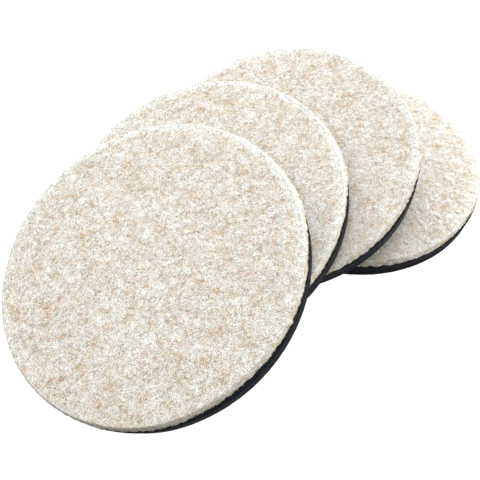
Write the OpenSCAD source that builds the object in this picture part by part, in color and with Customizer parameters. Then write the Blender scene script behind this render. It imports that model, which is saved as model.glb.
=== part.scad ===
// Set of four round felt furniture sliders, felt side up. One lies flat on the table. The other three are a
// slipped stack, flat on one another, that leans over the rim of the first with its low edge on the table.
// Origin: centre of the underside of the slider that lies flat, on the table. +Z is up.

/* [Slider] */
// Diameter of a slider, measured on the grip pad
slider_diameter = 120.65; // [70:0.05:180]
// Thickness of the foam-rubber pad that grips the furniture leg
grip_thickness = 6; // [4:0.1:12]
// Radius of the grip pad's lower edge
grip_edge_radius = 0.2; // [0.1:0.05:1.5]
// Depth to which the grip pad's cut wall is drawn in
grip_wall_hollow = 0.2; // [0.1:0.05:0.8]
// Thickness of the film that bonds the felt to the grip pad
film_thickness = 0.2; // [0.1:0.05:0.5]
// How far the bond film stops short of the felt's foot
film_setback = 0.8; // [0.2:0.1:4]
// Thickness of the felt pad that glides on the floor
felt_thickness = 2.8; // [1.5:0.1:6]
// How far the felt's foot stands in from the grip pad's wall
felt_inset = 0.4; // [0:0.1:2]
// How much further in the felt's upper rim stands than its foot
felt_taper = 0.9; // [0:0.1:2]
// Radius of the felt's upper rim
felt_rim_radius = 0.8; // [0.2:0.1:2]

/* [Fan] */
// Step in X from slider 4, which lies flat, to slider 3, the lowest of the leaning stack
step_x = -35.5; // [-50:0.25:-20]
// Step in Y from slider 4 to slider 3
step_y = -9.5; // [-30:0.25:10]
// Compass heading that the stack leans towards, from +X
heading = 217.5; // [190:0.5:245]
// How far slider 2 has slipped down the slope over slider 3
slip_2 = 38; // [20:0.5:50]
// How far slider 2 has slipped across the slope
across_2 = -2.8; // [-20:0.1:20]
// How far slider 1 has slipped down the slope over slider 2
slip_1 = 30.5; // [20:0.5:50]
// How far slider 1 has slipped across the slope
across_1 = 11.4; // [-20:0.1:20]
// Gap between two sliders that lie on each other
rest_clearance = 0.3; // [0.1:0.05:1]

/* [Hidden] */

$fn = 128;
slider_count = 4;
slider_radius = slider_diameter / 2;
slider_thickness = grip_thickness + film_thickness + felt_thickness;
film_bottom = grip_thickness;
felt_bottom = grip_thickness + film_thickness;

// Extra reach of a cut past the outline that it trims
cut_past = 1;

// Straight land above and below the drawn-in stretch of the grip pad's wall
wall_land = 0.4;
hollow_low = grip_edge_radius + wall_land;
hollow_high = grip_thickness - wall_land;
hollow_half = (hollow_high - hollow_low) / 2;
hollow_radius = (hollow_half * hollow_half + grip_wall_hollow * grip_wall_hollow) / (2 * grip_wall_hollow);

// The felt's wall slopes in from its foot. The rim's arc touches the wall and the face,
// and its radius is held to this share of the felt's thickness.
felt_rim_share = 0.45;
felt_rim = min(felt_rim_radius, felt_rim_share * felt_thickness);
felt_foot = slider_radius - felt_inset;
felt_slope = atan(felt_taper / felt_thickness);
rim_centre_z = felt_thickness - felt_rim;
rim_centre_x = felt_foot - (felt_rim + rim_centre_z * sin(felt_slope)) / cos(felt_slope);

// Centre lines of the rounded edges, round the whole slider
felt_ring_height = felt_bottom + rim_centre_z;
grip_ring_radius = slider_radius - grip_edge_radius;
ring_step = 3;

// The stack leans at most this far, and its lean is found by halving this many times
lean_limit = 60;
lean_steps = 32;

// A pose is [centre of the underside, lean, heading]. A slider is tipped about Y, then turned about Z,
// so its own +X points down the slope.
function tipped(p, lean) = [p.x * cos(lean) + p.z * sin(lean), p.y, p.z * cos(lean) - p.x * sin(lean)];
function turned(p, angle) = [p.x * cos(angle) - p.y * sin(angle), p.x * sin(angle) + p.y * cos(angle), p.z];
function from_slider(pose, p) = pose[0] + turned(tipped(p, pose[1]), pose[2]);
function to_slider(pose, p) = tipped(turned(p - pose[0], -pose[2]), -pose[1]);

// Centres of the undersides of sliders 3, 2 and 1, seen from slider 3
pitch = slider_thickness + rest_clearance;
stack = [
    [0, 0, 0],
    [slip_2, across_2, pitch],
    [slip_2 + slip_1, across_2 + across_1, 2 * pitch]
];

// Height from a leaning slider's low edge up to the centre of its underside
function low_edge_drop(lean) = grip_ring_radius * sin(lean) + grip_edge_radius * (1 - cos(lean));

// Slider 3 where the lowest edge of the stack just touches the table
function stack_base(lean) =
    let (heights = [for (p = stack) tipped(p, lean).z])
    [[step_x, step_y, low_edge_drop(lean) - min(heights)], lean, heading];

// Gaps from the rounded felt rim of the slider that lies flat up to the underside of slider 3
function rim_gaps(lean) =
    let (base = stack_base(lean))
    [
        for (a = [0 : ring_step : 360 - ring_step])
            let (p = [rim_centre_x * cos(a), rim_centre_x * sin(a), felt_ring_height])
            let (q = to_slider(base, p))
            if (norm([q.x, q.y]) <= grip_ring_radius) -q.z - felt_rim
    ];
function rim_gap(lean) = min(concat([slider_diameter], rim_gaps(lean)));

// The lean at which the stack, low edge on the table, comes to rest on that rim
function resting_lean(low = 0, high = lean_limit, steps = lean_steps) =
    let (lean = (low + high) / 2)
    steps == 0 ? high
    : rim_gap(lean) < rest_clearance ? resting_lean(lean, high, steps - 1)
    : resting_lean(low, lean, steps - 1);

stack_lean = resting_lean();
base = stack_base(stack_lean);
pose_4 = [[0, 0, 0], 0, 0];
poses = [
    [from_slider(base, stack[2]), stack_lean, heading],
    [from_slider(base, stack[1]), stack_lean, heading],
    base,
    pose_4
];

// Puts a piece of a slider where that slider rests in the fan
module at_slider(number) {
    pose = poses[number - 1];
    translate(pose[0])
        rotate([0, 0, pose[2]])
            rotate([0, pose[1], 0])
                children();
}

// Needle felt disc: its wall slopes in from the foot and its upper rim is rounded
module felt_pad() {
    wall_touch = [rim_centre_x + felt_rim * cos(felt_slope), rim_centre_z + felt_rim * sin(felt_slope)];
    color("#d9cdb9")
        translate([0, 0, felt_bottom])
            rotate_extrude()
                union() {
                    polygon([
                        [0, 0], [felt_foot, 0], wall_touch, [rim_centre_x, felt_thickness], [0, felt_thickness]
                    ]);
                    translate([rim_centre_x, rim_centre_z])
                        circle(r = felt_rim);
                }
}

// Hot-melt film between the felt and the grip pad
module bond_film() {
    color("#b9b4a6")
        translate([0, 0, film_bottom])
            cylinder(r = felt_foot - film_setback, h = film_thickness);
}

// Foam-rubber disc with a rounded lower edge and a wall drawn in by the cutting die
module grip_pad() {
    color("#23272b")
        rotate_extrude()
            difference() {
                square([slider_radius, grip_thickness]);
                translate([grip_ring_radius, grip_edge_radius])
                    mirror([0, 1])
                        difference() {
                            square(grip_edge_radius + cut_past);
                            circle(r = grip_edge_radius);
                        }
                translate([slider_radius + hollow_radius - grip_wall_hollow, hollow_low + hollow_half])
                    circle(r = hollow_radius);
            }
}

for (number = [1 : slider_count]) {
    at_slider(number) felt_pad();
    at_slider(number) bond_film();
    at_slider(number) grip_pad();
}
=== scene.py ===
import math

import bmesh
import bpy
import numpy as np
from mathutils import Matrix, Vector, noise


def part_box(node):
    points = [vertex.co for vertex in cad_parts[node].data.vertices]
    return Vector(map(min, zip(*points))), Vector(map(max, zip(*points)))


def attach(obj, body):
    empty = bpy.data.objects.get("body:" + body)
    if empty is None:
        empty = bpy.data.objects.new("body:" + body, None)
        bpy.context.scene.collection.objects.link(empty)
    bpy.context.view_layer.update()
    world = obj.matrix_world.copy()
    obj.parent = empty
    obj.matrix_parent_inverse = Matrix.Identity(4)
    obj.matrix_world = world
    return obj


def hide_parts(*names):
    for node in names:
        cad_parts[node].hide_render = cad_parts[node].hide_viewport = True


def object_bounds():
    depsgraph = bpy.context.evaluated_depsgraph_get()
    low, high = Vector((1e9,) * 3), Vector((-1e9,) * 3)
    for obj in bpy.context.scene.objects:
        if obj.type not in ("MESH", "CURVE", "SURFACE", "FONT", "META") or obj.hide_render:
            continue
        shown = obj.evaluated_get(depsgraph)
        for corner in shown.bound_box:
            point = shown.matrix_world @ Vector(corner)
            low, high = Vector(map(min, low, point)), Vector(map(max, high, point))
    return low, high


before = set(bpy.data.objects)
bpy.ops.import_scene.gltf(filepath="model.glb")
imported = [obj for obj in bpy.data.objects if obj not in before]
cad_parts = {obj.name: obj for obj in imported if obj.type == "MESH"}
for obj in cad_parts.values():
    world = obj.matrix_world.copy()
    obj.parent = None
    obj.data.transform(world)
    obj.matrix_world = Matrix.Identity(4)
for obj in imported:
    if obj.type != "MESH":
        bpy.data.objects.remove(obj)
cad_low, cad_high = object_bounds()

# Sizes are in metres. Slider 4 lies flat, so its nodes' boxes give the sizes that all four
# sliders share.
MM = 0.001
SLIDERS = (1, 2, 3, 4)
grip_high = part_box("grip_pad_4")[1]
film_low, film_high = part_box("bond_film_4")
felt_low, felt_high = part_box("felt_pad_4")

# Grip pad: rounded edges, and a wall drawn in by the cutting die
GRIP_RADIUS = grip_high.x
GRIP_TOP = grip_high.z
GRIP_LOWER_EDGE = 0.2 * MM
GRIP_UPPER_EDGE = 0.15 * MM
GRIP_WALL_LAND = 0.4 * MM
GRIP_WALL_HOLLOW = 0.2 * MM

# Bond film, a flat disc, and the room that the felt leaves round it
FILM_UNDER = film_low.z
FILM_TOP = film_high.z
FILM_RADIUS = film_high.x
FILM_CLEARANCE = 0.5 * MM

# Felt pad: sloped wall and a worn rim, with a lip round the bond film that comes down on the
# grip pad. Points past the lip's start can fray and spread, and those over the film can't.
FELT_UNDER = felt_low.z
FELT_FACE = felt_high.z
FELT_FOOT = felt_high.x
FELT_TAPER = 0.9 * MM
FELT_RIM_WIDE = 0.8 * MM
FELT_RIM_HIGH = 0.6 * MM
FELT_LIP_BOTTOM = GRIP_TOP + 0.03 * MM
FELT_LIP_START = FILM_RADIUS + 0.1 * MM

# Stretches of the sliders' edges that are drawn in, or bulge where the depth is negative. Each
# is its compass angle and half width in degrees, and its depth. The move starts at one radius,
# and it is full a little further out.
FELT_STRETCHES = {
    1: [(306, 38, 1.15 * MM), (345, 28, 0.5 * MM)],
    2: [(330, 40, 0.5 * MM)],
    3: [(312, 45, 0.5 * MM)],
    4: [(312, 22, 0.4 * MM)],
}
GRIP_STRETCHES = {1: [(238, 30, 0.7 * MM), (277, 16, -0.22 * MM)]}
DRAW_START = 0.9 * GRIP_RADIUS
DRAW_EASE = 0.08 * GRIP_RADIUS

# Painted highlight: a paler ring just inside the felt's rim. Painted shade: a richer colour on the
# cut wall under the rim. Each is where it starts and where it is full, as a radius or as a depth
# below the face. The side of the felt that faces the lights lies at this compass angle. The
# painted highlight shows most on that side, and the painted shade on the other.
RIM_HIGHLIGHT_BAND = (FELT_FOOT - 4.8 * MM, FELT_FOOT - 2.8 * MM)
SHADED_WALL_DEPTHS = (0.2 * MM, 0.7 * MM)
LIGHT_HEADING = math.radians(65)

# Height of the ragged stretch above the felt's foot
RAGGED = 1.2 * MM

# Where each felt's foot spreads over the grip pad's edge, so that no foam shows: the middle and
# half width of that stretch in degrees. Along the rest of the rim the foot stands in and the
# foam shows.
SPREAD_ARCS = {1: (102, 93), 2: (120, 122), 3: (101, 119), 4: (76, 106)}
SPREAD = 0.6 * MM
SPREAD_EASE = 8

# Unevenness, as waves of smooth noise, each its width and its height. The felt is sunk a little,
# so that its high spots stay near the pad's true size. Each slider takes its noise from another
# place, a step further on.
FELT_WAVES = [(14 * MM, 0.1 * MM), (2.4 * MM, 0.12 * MM), (1.2 * MM, 0.08 * MM)]
FRAY_WAVES = [(3 * MM, 0.15 * MM), (1.3 * MM, 0.4 * MM)]
GRIP_WAVES = [(9 * MM, 0.06 * MM), (1.5 * MM, 0.05 * MM)]
FELT_SINK = 0.1 * MM
NOISE_STEP = np.array([0.37, 0.61, 0])

# Density of the turned meshes, and the distance at which their points are merged
TURN_STEPS = 720
TURN_PARTS = 8
FACE_RING = 1.3 * MM
WALL_RING = 0.35 * MM
HIDDEN_RING = 6 * MM
RIM_STEPS = 6
MERGE = 0.001 * MM

# A face counts as level where its normal's upright part is past this
LEVEL = 0.5

# Bake map of a turned mesh: the margin round the shown disc, and the middle and the radius of
# the hidden one
MAP_NAME = "OFBake"
MAP_MARGIN = 1.02
MAP_HIDDEN_MIDDLE = (0.07, 0.07)
MAP_HIDDEN_RADIUS = 0.06

# Loose fibres on the felt. A felt fibre is about 0.03 mm thick, drawn thicker so that it shows
# in the picture. Its tone has a mean and a spread.
FIBRE_THICKNESS = (0.06 * MM, 0.1 * MM)
FIBRE_SINK = 0.04 * MM
FIBRE_TONE = (0.56, 0.13)

# How many fibres lie on the face and on the rim, and hang from the foot, with their lengths and
# how far they rise
FACE_FIBRES = 11500
FACE_LENGTH = (0.9 * MM, 2.4 * MM)
FACE_RISE = (0.04 * MM, 0.16 * MM)
RIM_FIBRES = 3000
RIM_LENGTH = (0.5 * MM, 1.3 * MM)
RIM_RISE = (0.08 * MM, 0.3 * MM)
EDGE_FIBRES = 700
EDGE_LENGTH = (0.4 * MM, 1.1 * MM)

# The felt's face and wall, told apart by the upright part of their normals
FACE_UPRIGHT = 0.8
WALL_UPRIGHT = -0.35

# A lying fibre: the weights of X, Y and Z in its direction, its bow to one side as a share of its
# length, and how far its far end dips as a share of its rise
LIE_WEIGHTS = (0.7, 1, 1)
LIE_BOW = (-0.3, 0.3)
LIE_DIP = (-0.5, 1)

# A hanging fibre: how far it reaches out, sideways and down, as shares of its length
HANG_OUT = (0.2, 0.8)
HANG_SIDEWAYS = 0.35
HANG_DOWN = (0.2, 0.9)

# A strand has a root, two rings of points and a tip. In its cell of the bake map, these are at
# four places along it, and its sides take up one span across it.
FIBRE_SIDES = 3
STRAND_POINTS = 2 * FIBRE_SIDES + 2
CELL_PLACES = (0.15, 0.35, 0.65, 0.85)
CELL_START = 0.15
CELL_SPAN = 0.7

# Colours by tone: felt from tan through oatmeal to white, foam, and film
FELT_COLOURS = [(0.3, "#c3ac8d"), (0.435, "#d3cabb"), (0.555, "#dad8cf"), (0.7, "#e6e8e4")]
FOAM_COLOURS = [(0.25, "#070a0f"), (0.5, "#0d131a"), (0.75, "#18212b")]
FILM_COLOURS = [(0.3, "#a8a296"), (0.7, "#c9c4b6")]

# Widths of the patterns' cells in millimetres, and how they are blended and raised as relief
FELT_CLOUD, FELT_FLECK, FELT_DYE, FELT_GRAIN = 4.5, 1.6, 1.1, 0.34
FOAM_CLOUD, FOAM_PORE = 2.5, 0.55
FILM_PRINT = 1.2
FELT_FLECK_SHARE = 0.5
FOAM_CLOUD_SHARE = 0.6
FELT_BUMP = 0.7
FOAM_BUMP = 0.3
BUMP_DEPTH = 0.15 * MM

# Ranges of the felt's patterns, and what they drive: brightness and richness of colour from the
# grain, hue from the dyes. The painted rim highlight adds to the tone, and the painted wall shade
# to the richness.
# A loose fibre's own tone makes up a share of what it shows.
GRAIN_RANGE = (0.27, 0.62)
GRAIN_BRIGHTNESS = (0.36, 1.2)
GRAIN_RICHNESS = (1.4, 0.9)
DYE_RANGE = (0.3, 0.7)
DYE_HUE = (0.468, 0.532)
PAINTED_HIGHLIGHT_TONE = 0.18
PAINTED_SHADE_RICHNESS = 0.5
LOOSE_SHARE = 0.6

# Floor, and soft lights: where each stands, its side and its power in watts
FLOOR_HALF = 3
FLOOR_DROP = 0.2 * MM
SOFTBOXES = {
    "top_softbox": ((-0.1, 0.0, 0.9), 0.6, 4.4),
    "back_softbox": ((-0.05, 0.65, 0.5), 0.8, 7.7),
    "left_softbox": ((-0.65, 0.35, 0.45), 0.5, 2.8),
    "low_right_softbox": ((0.7, -0.05, 0.12), 0.3, 7.2),
}
ROOM_LIGHT = 0.33

# The photograph's camera, for a square picture of 480 pixels a side
IMAGE_SIDE = 480
FOCAL_PIXELS = 444.9
SENSOR = 36
CAMERA_NEAR = 0.01
CAMERA_PLACE = (-0.05312, -0.14847, 0.16367)
CAMERA_DROP = math.radians(56.41)
CAMERA_ROLL = math.radians(2.78)


def colour(code):
    """Linear colour of an sRGB hex value."""
    parts = [int(code[i : i + 2], 16) / 255 for i in (1, 3, 5)]
    linear = [c / 12.92 if c <= 0.04045 else ((c + 0.055) / 1.055) ** 2.4 for c in parts]
    return (*linear, 1)


def per_mm(size):
    """Pattern scale at which one cell of a pattern is this many millimetres wide."""
    return 1 / (size * MM)


def add_node(tree, kind, links=None, values=None, **settings):
    """Adds a shader node, with its settings, input values and the outputs that feed its inputs."""
    node = tree.nodes.new(kind)
    for name, value in settings.items():
        setattr(node, name, value)
    for name, value in (values or {}).items():
        node.inputs[name].default_value = value
    for name, output in (links or {}).items():
        tree.links.new(output, node.inputs[name])
    return node


def new_material(name, surface):
    """Node material with these values of its Principled shader. Returns it with its tree, its
    shader and its Object coordinates."""
    material = bpy.data.materials.new(name)
    material.use_nodes = True
    tree = material.node_tree
    tree.nodes.clear()
    shader = add_node(tree, "ShaderNodeBsdfPrincipled", values=surface)
    add_node(tree, "ShaderNodeOutputMaterial", {"Surface": shader.outputs["BSDF"]})
    place = add_node(tree, "ShaderNodeTexCoord").outputs["Object"]
    return material, tree, shader, place


def pattern(tree, place, size, values, **settings):
    """Noise with cells this many millimetres wide."""
    values = {"Scale": per_mm(size), **values}
    node = add_node(tree, "ShaderNodeTexNoise", {"Vector": place}, values, **settings)
    return node.outputs["Fac"]


def stored(tree, name):
    """Value that is stored on the mesh's points under this name."""
    return add_node(tree, "ShaderNodeAttribute", attribute_name=name).outputs["Fac"]


def mixed(tree, first, second, share):
    """Blend of two values, with this share of the second."""
    node = add_node(tree, "ShaderNodeMix", {"A": first, "B": second}, {"Factor": share})
    return node.outputs["Result"]


def raised(tree, value, extra, gain):
    """A value plus an extra one times a gain."""
    node = add_node(tree, "ShaderNodeMath", {0: extra, 2: value}, {1: gain},
                    operation="MULTIPLY_ADD")
    return node.outputs["Value"]


def moved(tree, value, source, target):
    """A value moved from one range to another."""
    values = dict(zip(("From Min", "From Max", "To Min", "To Max"), source + target))
    return add_node(tree, "ShaderNodeMapRange", {"Value": value}, values).outputs["Result"]


def ramped(tree, tone, stops):
    """Colour of a tone, from stops that are each a position and a hex colour."""
    ramp = add_node(tree, "ShaderNodeValToRGB", {"Fac": tone})
    elements = ramp.color_ramp.elements
    while len(elements) < len(stops):
        elements.new(0.5)
    for element, (position, code) in zip(elements, stops):
        element.position = position
        element.color = colour(code)
    return ramp.outputs["Color"]


def add_bump(tree, shader, height, strength):
    """Fine relief from a pattern."""
    bump = add_node(tree, "ShaderNodeBump", {"Height": height},
                    {"Strength": strength, "Distance": BUMP_DEPTH})
    tree.links.new(bump.outputs["Normal"], shader.inputs["Normal"])


def felt_finish(name, fibre_share):
    """Needle-punched felt, a blend of white, oatmeal and tan fibres pressed together dry.
    It shows clouds a few millimetres wide, fine salt-and-pepper grain and a soft fuzzy edge, and
    no gloss. A share of the tone can come from the single fibres."""
    material, tree, shader, place = new_material(name, {
        "Roughness": 1, "IOR": 1.45, "Specular IOR Level": 0.1,
        "Sheen Weight": 0.2, "Sheen Roughness": 0.5,
    })
    clouds = pattern(tree, place, FELT_CLOUD, {"Detail": 2, "Roughness": 0.5})
    flecks = pattern(tree, place, FELT_FLECK, {"Detail": 1, "Roughness": 0.5, "Distortion": 0.4})
    dyes = pattern(tree, place, FELT_DYE, {"Detail": 1, "Roughness": 0.5, "W": 5},
                   noise_dimensions="4D")
    grain = pattern(tree, place, FELT_GRAIN, {"Detail": 1, "Roughness": 0.6, "Distortion": 0.6})
    tone = mixed(tree, clouds, flecks, FELT_FLECK_SHARE)
    if fibre_share:
        tone = mixed(tree, tone, stored(tree, "fibre_tone"), fibre_share)
    # Painted highlight: the ring inside the rim is paler on the side that faces the lights.
    tone = raised(tree, tone, stored(tree, "painted_rim_highlight"), PAINTED_HIGHLIGHT_TONE)
    richness = moved(tree, grain, GRAIN_RANGE, GRAIN_RICHNESS)
    tinted = add_node(tree, "ShaderNodeHueSaturation", {
        "Color": ramped(tree, tone, FELT_COLOURS),
        "Hue": moved(tree, dyes, DYE_RANGE, DYE_HUE),
        # Painted shade: the cut wall's colour is richer on the side turned away from the lights.
        "Saturation": raised(tree, richness, stored(tree, "painted_wall_shade"), PAINTED_SHADE_RICHNESS),
        "Value": moved(tree, grain, GRAIN_RANGE, GRAIN_BRIGHTNESS),
    })
    tree.links.new(tinted.outputs["Color"], shader.inputs["Base Color"])
    add_bump(tree, shader, grain, FELT_BUMP)
    return material


def foam_finish():
    """Closed-cell foam rubber, die cut. It is a matte bluish black with fine open pores on the
    cut wall."""
    material, tree, shader, place = new_material("die_cut_foam_rubber", {
        "Roughness": 0.5, "IOR": 1.5, "Specular IOR Level": 0.1,
    })
    cells = add_node(tree, "ShaderNodeTexVoronoi", {"Vector": place}, {"Scale": per_mm(FOAM_PORE)})
    pores = cells.outputs["Distance"]
    clouds = pattern(tree, place, FOAM_CLOUD, {"Detail": 3, "Roughness": 0.6})
    black = ramped(tree, mixed(tree, pores, clouds, FOAM_CLOUD_SHARE), FOAM_COLOURS)
    tree.links.new(black, shader.inputs["Base Color"])
    add_bump(tree, shader, pores, FOAM_BUMP)
    return material


def film_finish():
    """Hot-melt adhesive film: milky, slightly waxy, with the print of the felt's fibres in it."""
    material, tree, shader, place = new_material("hot_melt_film", {"Roughness": 0.45, "IOR": 1.48})
    print_of_felt = pattern(tree, place, FILM_PRINT, {"Detail": 3, "Roughness": 0.6})
    tree.links.new(ramped(tree, print_of_felt, FILM_COLOURS), shader.inputs["Base Color"])
    return material


def slider_place(number):
    """Matrix that takes a slider from lying flat at the origin to its place in the fan, without
    a twist."""
    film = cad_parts[f"bond_film_{number}"]
    low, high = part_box(film.name)
    upper = (p.normal * p.area for p in film.data.polygons if p.normal.z > LEVEL)
    up = sum(upper, Vector()).normalized()
    tip = Vector((0, 0, 1)).rotation_difference(up).to_matrix().to_4x4()
    middle = Vector((0, 0, (FILM_UNDER + FILM_TOP) / 2))
    return Matrix.Translation((low + high) / 2) @ tip @ Matrix.Translation(-middle)


def spaced(start, end, gap):
    """Evenly spaced values from start to just before end, about a gap apart."""
    count = max(1, round(abs(end - start) / gap))
    return [start + (end - start) * i / count for i in range(count)]


def arc(centre, wide, high, start, end):
    """Points of a rounded edge in the half section, part of an ellipse."""
    angles = [start + (end - start) * i / RIM_STEPS for i in range(RIM_STEPS + 1)]
    return [(centre[0] + wide * math.cos(a), centre[1] + high * math.sin(a)) for a in angles]


def felt_section():
    """Half section of the felt pad: under face round the film, lip, sloped wall, worn rim, upper
    face."""
    slope = FELT_TAPER / (FELT_FACE - FELT_UNDER)
    rim_z = FELT_FACE - FELT_RIM_HIGH
    start = math.atan(FELT_RIM_HIGH / FELT_RIM_WIDE * slope)
    wall_top = rim_z + FELT_RIM_HIGH * math.sin(start)
    rim_x = FELT_FOOT - (wall_top - FELT_UNDER) * slope - FELT_RIM_WIDE * math.cos(start)
    rim = arc((rim_x, rim_z), FELT_RIM_WIDE, FELT_RIM_HIGH, start, math.pi / 2)
    step = FILM_RADIUS + FILM_CLEARANCE
    under = [(x, FELT_UNDER) for x in spaced(0, step, HIDDEN_RING)]
    lip = [(step, FELT_UNDER), (step, FELT_LIP_BOTTOM)]
    foot = Vector((FELT_FOOT, FELT_LIP_BOTTOM))
    shares = spaced(0, 1, WALL_RING / (wall_top - FELT_LIP_BOTTOM))
    wall = [foot.lerp(Vector(rim[0]), t) for t in shares]
    face = [(x, FELT_FACE) for x in spaced(rim_x, 0, FACE_RING)[1:]] + [(0, FELT_FACE)]
    return under + lip + wall + rim + face


def grip_section():
    """Half section of the grip pad: under face, lower edge, drawn-in wall, upper edge and upper
    face."""
    low, high = GRIP_LOWER_EDGE, GRIP_UPPER_EDGE
    lower = arc((GRIP_RADIUS - low, low), low, low, -math.pi / 2, 0)
    upper = arc((GRIP_RADIUS - high, GRIP_TOP - high), high, high, 0, math.pi / 2)
    hollow_low = low + GRIP_WALL_LAND
    hollow_high = GRIP_TOP - GRIP_WALL_LAND
    under = [(x, 0) for x in spaced(0, GRIP_RADIUS - low, HIDDEN_RING)]
    wall = []
    for t in spaced(0, 1, WALL_RING / (hollow_high - hollow_low)) + [1]:
        depth = GRIP_WALL_HOLLOW * math.sin(math.pi * t)
        wall.append((GRIP_RADIUS - depth, hollow_low + (hollow_high - hollow_low) * t))
    top = [(x, GRIP_TOP) for x in spaced(GRIP_RADIUS - high, 0, HIDDEN_RING)[1:]]
    return under + lower + wall + upper + top + [(0, GRIP_TOP)]


def film_section():
    """Half section of the bond film, a plain flat disc."""
    under = [(x, FILM_UNDER) for x in spaced(0, FILM_RADIUS, HIDDEN_RING)]
    top = [(x, FILM_TOP) for x in spaced(FILM_RADIUS, 0, HIDDEN_RING)]
    return under + [(FILM_RADIUS, FILM_UNDER)] + top + [(0, FILM_TOP)]


def lay_out_map(bm, shown_z, shown_up):
    """Bake map: the shown face is a disc with the wall as a ring round it, and the hidden face is
    small, in a corner."""
    layer = bm.loops.layers.uv.new(MAP_NAME)
    height = max(abs(v.co.z - shown_z) for v in bm.verts)
    reach = MAP_MARGIN * (max(v.co.x for v in bm.verts) + height)
    for face in bm.faces:
        hidden = face.normal.z * shown_up < -LEVEL
        for loop in face.loops:
            flat = loop.vert.co.xy
            if hidden:
                loop[layer].uv = Vector(MAP_HIDDEN_MIDDLE) + flat * (MAP_HIDDEN_RADIUS / reach)
                continue
            ring = flat.length + abs(loop.vert.co.z - shown_z)
            loop[layer].uv = Vector((0.5, 0.5)) + flat.normalized() * (0.5 * ring / reach)


def in_order(bm):
    """The same mesh with its faces in a fixed order. Merging leaves them in another order on each
    run, and the fibres are dealt out over the faces in turn."""
    bm.verts.index_update()
    rings = []
    for face in bm.faces:
        ring = [vert.index for vert in face.verts]
        first = ring.index(min(ring))
        rings.append(ring[first:] + ring[:first])
    ordered = bmesh.new()
    verts = [ordered.verts.new(vert.co) for vert in bm.verts]
    for ring in sorted(rings):
        ordered.faces.new([verts[i] for i in ring])
    bm.free()
    ordered.normal_update()
    return ordered


def finished_mesh(name, bm):
    """Mesh from an edit mesh, which is then freed."""
    mesh = bpy.data.meshes.new(name)
    bm.to_mesh(mesh)
    bm.free()
    return mesh


def turned(name, section, shown_z, shown_up):
    """Closed disc turned about its axis from a half section that starts and ends on that axis.
    A part of the turn is spun, then doubled until it closes."""
    bm = bmesh.new()
    verts = [bm.verts.new((x, 0, z)) for x, z in section]
    edges = [bm.edges.new(pair) for pair in zip(verts, verts[1:])]
    part = math.tau / TURN_PARTS
    bmesh.ops.spin(bm, geom=verts + edges, cent=(0, 0, 0), axis=(0, 0, 1), angle=part,
                   steps=TURN_STEPS // TURN_PARTS)
    done = 1
    while done < TURN_PARTS:
        whole = bm.verts[:] + bm.edges[:] + bm.faces[:]
        copies = bmesh.ops.duplicate(bm, geom=whole)["geom"]
        points = [item for item in copies if isinstance(item, bmesh.types.BMVert)]
        turn = Matrix.Rotation(done * part, 3, "Z")
        bmesh.ops.rotate(bm, verts=points, cent=(0, 0, 0), matrix=turn)
        done *= 2
    bmesh.ops.remove_doubles(bm, verts=bm.verts, dist=MERGE)
    bmesh.ops.recalc_face_normals(bm, faces=bm.faces)
    bm = in_order(bm)
    lay_out_map(bm, shown_z, shown_up)
    return finished_mesh(name, bm)


def values_of(items, name, width):
    """One property of all of a mesh's points or faces, as an array."""
    values = np.empty(len(items) * width)
    items.foreach_get(name, values)
    return values.reshape(-1, width)


def points_of(mesh):
    """A mesh's points, and how far each is from the slider's axis."""
    points = values_of(mesh.vertices, "co", 3)
    return points, np.linalg.norm(points[:, :2], axis=1)


def set_points(mesh, points):
    """Moves a mesh's points."""
    mesh.vertices.foreach_set("co", points.ravel())
    mesh.update()


def store(mesh, name, values):
    """Stores a value on each point of a mesh, for its material."""
    attribute = mesh.attributes.new(name, "FLOAT", "POINT")
    attribute.data.foreach_set("value", values.astype(np.float32))


def compass(points):
    """Compass angle of each point round the slider's axis, in radians from +X."""
    return np.arctan2(points[:, 1], points[:, 0])


def degrees_apart(angles, angle):
    """How far compass angles in radians are away from one in degrees, either way, in degrees."""
    return np.abs((np.degrees(angles) - angle + 180) % 360 - 180)


def noise_at(points, waves):
    """Sum of smooth noise at each point. A wave is its width and its height."""
    return np.array([
        sum(high * noise.noise(Vector(p) / wide) for wide, high in waves) for p in points
    ])


def roughened(shape, name, shift, waves, sink=0):
    """Copy of a turned shape with its points moved along their normals by noise."""
    mesh = shape.copy()
    mesh.name = name
    points = values_of(mesh.vertices, "co", 3)
    normals = values_of(mesh.vertices, "normal", 3)
    points += normals * (noise_at(points + shift, waves) - sink)[:, None]
    set_points(mesh, points)
    return mesh


def draw_in(mesh, stretches):
    """Draws a pad's edge in towards its middle along some stretches, and eases that out over its
    faces."""
    points, radii = points_of(mesh)
    angles = compass(points)
    outward = np.clip((radii - DRAW_START) / DRAW_EASE, 0, 1)
    for angle, half_width, depth in stretches:
        off = degrees_apart(angles, angle) / half_width
        along = np.where(off < 1, np.cos(off * math.pi / 2) ** 2, 0)
        points[:, :2] *= (1 - depth * along * outward / np.maximum(radii, MM))[:, None]
    set_points(mesh, points)


def fray(mesh, shift):
    """Moves the lowest stretch of a felt pad's wall in and out by noise, most at its foot."""
    points, radii = points_of(mesh)
    low = np.clip((FELT_UNDER + RAGGED - points[:, 2]) / RAGGED, 0, 1) * (radii > FELT_LIP_START)
    chosen = np.flatnonzero(low)
    move = noise_at(points[chosen] + shift, FRAY_WAVES) * low[chosen] / radii[chosen]
    points[chosen, :2] *= 1 + move[:, None]
    set_points(mesh, points)


def spread_foot(mesh, middle, half_width):
    """Spreads the foot of a felt pad's wall outwards along a stretch, eased at both ends."""
    points, radii = points_of(mesh)
    low = np.clip((FELT_FACE - points[:, 2]) / (FELT_FACE - FELT_UNDER), 0, 1)
    low *= radii > FELT_LIP_START
    off = degrees_apart(compass(points), middle)
    along = np.clip((half_width + SPREAD_EASE - off) / SPREAD_EASE, 0, 1)
    points[:, :2] *= (1 + SPREAD * low * along / np.maximum(radii, MM))[:, None]
    set_points(mesh, points)


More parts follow.
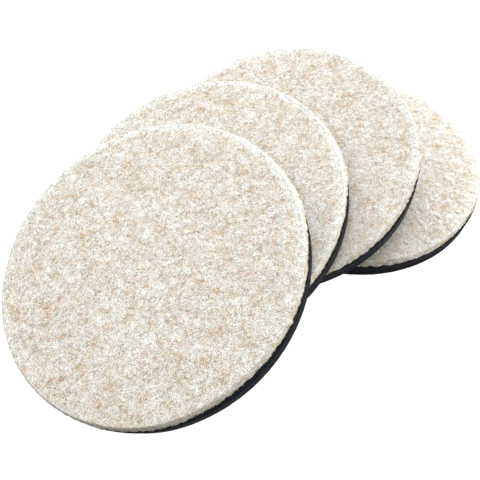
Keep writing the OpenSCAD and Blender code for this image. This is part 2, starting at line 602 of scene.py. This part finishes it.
def mark_painted_light(mesh):
    """Stores on each point of a flat felt mesh how much painted highlight it takes in the ring
    inside the rim, and how much painted shade it takes on the cut wall."""
    points, radii = points_of(mesh)
    shade_start, shade_full = SHADED_WALL_DEPTHS
    highlight_start, highlight_full = RIM_HIGHLIGHT_BAND
    wall = np.clip((FELT_FACE - points[:, 2] - shade_start) / (shade_full - shade_start), 0, 1)
    ring = np.clip((radii - highlight_start) / (highlight_full - highlight_start), 0, 1) * (1 - wall)
    # How far each point's side faces the lights: the painted highlight follows it, the painted
    # shade its opposite.
    facing_light = 0.5 + 0.5 * np.cos(compass(points) - LIGHT_HEADING)
    store(mesh, "painted_rim_highlight", ring * facing_light)
    store(mesh, "painted_wall_shade", wall * (1 - facing_light) ** 2)


def add_object(name, data):
    """Object in the scene."""
    added = bpy.data.objects.new(name, data)
    bpy.context.scene.collection.objects.link(added)
    return added


def add_piece(name, mesh, number, material, place):
    """Object from a mesh that was modelled lying flat, moved to its slider's place. It rides on
    its slider."""
    mesh.transform(place)
    mesh.shade_smooth()
    mesh.materials.append(material)
    piece = add_object(name, mesh)
    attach(piece, f"slider_{number}")
    return piece


def level_with(vectors, normals):
    """Vectors without their part along the normals."""
    return vectors - normals * np.sum(vectors * normals, axis=1, keepdims=True)


def scattered(mesh, chosen, count, rng):
    """Places picked evenly over the chosen faces of a mesh, with the surface's normal there."""
    areas = values_of(mesh.polygons, "area", 1)[:, 0]
    share = np.where(chosen, areas, 0)
    picks = rng.choice(len(areas), count, p=share / share.sum())
    centres = values_of(mesh.polygons, "center", 3)[picks]
    normals = values_of(mesh.polygons, "normal", 3)[picks]
    jitter = rng.uniform(-0.5, 0.5, (count, 3)) * np.sqrt(areas[picks])[:, None]
    return centres + level_with(jitter, normals), normals


def lying_fibres(mesh, chosen, count, length, rise, rng):
    """Curved fibres that lie on the chosen faces. Returns four points of each, and two directions
    across it."""
    roots, normals = scattered(mesh, chosen, count, rng)
    along = level_with(rng.normal(size=(count, 3)) * LIE_WEIGHTS, normals)
    along /= np.linalg.norm(along, axis=1, keepdims=True)
    across = np.cross(normals, along)
    lengths = rng.uniform(*length, (count, 1))
    lift = rng.uniform(*rise, (count, 1))
    bow = rng.uniform(*LIE_BOW, (count, 1)) * lengths
    dip = rng.uniform(*LIE_DIP, (count, 1)) * lift
    end = 0.5 * lengths * along
    inner = 0.2 * lengths * along
    points = [
        roots - end - FIBRE_SINK * normals,
        roots - inner + lift * normals + bow * across,
        roots + inner + lift * normals + bow * across,
        roots + end - dip * normals,
    ]
    return np.stack(points, axis=1), normals, across


def hanging_fibres(mesh, chosen, count, length, rng):
    """Fibres that stick out of the chosen faces and droop over the edge below them. Returns the
    same as for lying ones."""
    roots, normals = scattered(mesh, chosen, count, rng)
    down = np.array([0, 0, -1])
    across = np.cross(normals, down)
    lengths = rng.uniform(*length, (count, 1))
    along = rng.uniform(*HANG_OUT, (count, 1)) * normals
    along += rng.normal(0, HANG_SIDEWAYS, (count, 1)) * across
    along += rng.uniform(*HANG_DOWN, (count, 1)) * down
    belly = 0.1 * lengths * normals
    points = [
        roots - FIBRE_SINK * normals,
        roots + 0.35 * lengths * along + belly,
        roots + 0.7 * lengths * along + belly,
        roots + lengths * along + 0.15 * lengths * down,
    ]
    return np.stack(points, axis=1), normals, across


def strand_faces():
    """Faces of one strand. Each corner is its point, and its place in the strand's cell of the
    bake map."""
    root, first, second, tip = CELL_PLACES
    faces = []
    for side in range(FIBRE_SIDES):
        near, far = 1 + side, 1 + (side + 1) % FIBRE_SIDES
        v, w = (CELL_START + CELL_SPAN * s / FIBRE_SIDES for s in (side, side + 1))
        near_first, far_first = (near, first, v), (far, first, w)
        near_second, far_second = (near + FIBRE_SIDES, second, v), (far + FIBRE_SIDES, second, w)
        faces.append([(0, root, (v + w) / 2), near_first, far_first])
        faces.append([near_first, near_second, far_second, far_first])
        faces.append([near_second, (STRAND_POINTS - 1, tip, (v + w) / 2), far_second])
    return faces


def nap(name, felt, rng):
    """Loose fibres of one felt pad, each a thin three-sided strand with pointed ends."""
    upright = values_of(felt.polygons, "normal", 3)[:, 2]
    height = values_of(felt.polygons, "center", 3)[:, 2] - FELT_UNDER
    on_face = upright >= FACE_UPRIGHT
    on_wall = (upright > WALL_UPRIGHT) & ~on_face
    at_foot = on_wall & (height < RAGGED)
    groups = [
        lying_fibres(felt, on_face, FACE_FIBRES, FACE_LENGTH, FACE_RISE, rng),
        lying_fibres(felt, on_wall, RIM_FIBRES, RIM_LENGTH, RIM_RISE, rng),
        hanging_fibres(felt, at_foot, EDGE_FIBRES, EDGE_LENGTH, rng),
    ]
    lines, normals, across = (np.concatenate(part) for part in zip(*groups))
    count = len(lines)
    radii = rng.uniform(*FIBRE_THICKNESS, (count, 1)) / 2
    rings = []
    for point in (1, 2):
        for side in range(FIBRE_SIDES):
            angle = math.pi / 2 + side * math.tau / FIBRE_SIDES
            outward = across * math.cos(angle) + normals * math.sin(angle)
            rings.append(lines[:, point] + radii * outward)
    points = np.stack([lines[:, 0], *rings, lines[:, 3]], axis=1)

    strand = strand_faces()
    faces = [[c[0] + i * STRAND_POINTS for c in face] for i in range(count) for face in strand]
    mesh = bpy.data.meshes.new(name)
    mesh.from_pydata(points.reshape(-1, 3).tolist(), [], faces)

    cells = math.ceil(math.sqrt(count))
    corners = np.array([c[1:] for face in strand for c in face])
    cell = np.stack([np.arange(count) % cells, np.arange(count) // cells], axis=1)
    layer = mesh.uv_layers.new(name=MAP_NAME)
    layer.data.foreach_set("uv", ((cell[:, None] + corners[None]) / cells).ravel())
    tones = np.clip(rng.normal(*FIBRE_TONE, count), 0, 1)
    store(mesh, "fibre_tone", np.repeat(tones, STRAND_POINTS))
    return mesh


def studio_floor():
    """Plain white sheet under the sliders, pure white to the eye. It sends no light back up to
    them, so the foam stays as dark as in the photograph."""
    bm = bmesh.new()
    bmesh.ops.create_grid(bm, x_segments=1, y_segments=1, size=FLOOR_HALF)
    bmesh.ops.translate(bm, vec=(0, 0, -FLOOR_DROP), verts=bm.verts)
    mesh = finished_mesh("studio_floor", bm)
    sheet = new_material("white_studio_sheet", {
        "Base Color": colour("#909090"), "Roughness": 1, "Specular IOR Level": 0,
        "Emission Color": colour("#ffffff"), "Emission Strength": 1,
    })
    mesh.materials.append(sheet[0])
    floor = add_object("studio_floor", mesh)
    floor.visible_diffuse = False
    floor.visible_glossy = False


def softbox(name, place, size, power):
    """Square soft light that faces the middle of the object."""
    light = bpy.data.lights.new(name, "AREA")
    light.size = size
    light.energy = power
    lamp = add_object(name, light)
    lamp.location = place
    view = (cad_low + cad_high) / 2 - Vector(place)
    lamp.rotation_euler = view.to_track_quat("-Z", "Y").to_euler()


def studio_light():
    """Soft light from above, behind, the left and low on the right, and none from the camera's
    side, so the walls that face the camera stay dark and those that face right are bright."""
    for name, (place, size, power) in SOFTBOXES.items():
        softbox(name, place, size, power)
    world = bpy.data.worlds.new("white_room")
    world.use_nodes = True
    room = world.node_tree.nodes["Background"]
    room.inputs["Color"].default_value = colour("#ffffff")
    room.inputs["Strength"].default_value = ROOM_LIGHT
    bpy.context.scene.world = world
    bpy.context.scene.view_settings.view_transform = "Standard"


def photo_camera():
    """Camera at the photograph's viewing angle."""
    data = bpy.data.cameras.new("photo_camera")
    data.sensor_width = SENSOR
    data.lens = SENSOR * FOCAL_PIXELS / IMAGE_SIDE
    data.clip_start = CAMERA_NEAR
    camera = add_object("photo_camera", data)
    tilt = Matrix.Rotation(math.pi / 2 - CAMERA_DROP, 4, "X")
    roll = Matrix.Rotation(-CAMERA_ROLL, 4, "Z")
    camera.matrix_world = Matrix.Translation(CAMERA_PLACE) @ tilt @ roll
    bpy.context.scene.camera = camera


needle_felt = felt_finish("needle_felt", 0)
loose_felt = felt_finish("loose_felt_fibres", LOOSE_SHARE)
foam = foam_finish()
hot_melt = film_finish()
felt_shape = turned("felt_shape", felt_section(), FELT_FACE, 1)
grip_shape = turned("grip_shape", grip_section(), 0, -1)
film_shape = turned("film_shape", film_section(), FILM_TOP, 1)

for number in SLIDERS:
    place = slider_place(number)
    rng = np.random.default_rng(number)
    shift = number * NOISE_STEP

    mesh = roughened(grip_shape, f"grip_{number}", shift, GRIP_WAVES)
    draw_in(mesh, GRIP_STRETCHES.get(number, []))
    grip = add_piece(f"grip_{number}", mesh, number, foam, place)
    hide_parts(f"grip_pad_{number}")

    mesh = roughened(felt_shape, f"felt_{number}", shift, FELT_WAVES, FELT_SINK)
    fray(mesh, shift)
    spread_foot(mesh, *SPREAD_ARCS[number])
    draw_in(mesh, FELT_STRETCHES[number])
    fibres = nap(f"nap_{number}", mesh, rng)
    # Painted rim highlight and painted wall shade, on the felt and on its loose fibres.
    mark_painted_light(mesh)
    mark_painted_light(fibres)
    pad = add_piece(f"felt_{number}", mesh, number, needle_felt, place)
    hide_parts(f"felt_pad_{number}")
    add_piece(f"nap_{number}", fibres, number, loose_felt, place)

    mesh = film_shape.copy()
    draw_in(mesh, FELT_STRETCHES[number])
    sheet = add_piece(f"film_{number}", mesh, number, hot_melt, place)
    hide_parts(f"bond_film_{number}")

for shape in (felt_shape, grip_shape, film_shape):
    bpy.data.meshes.remove(shape)
studio_floor()
studio_light()
photo_camera()
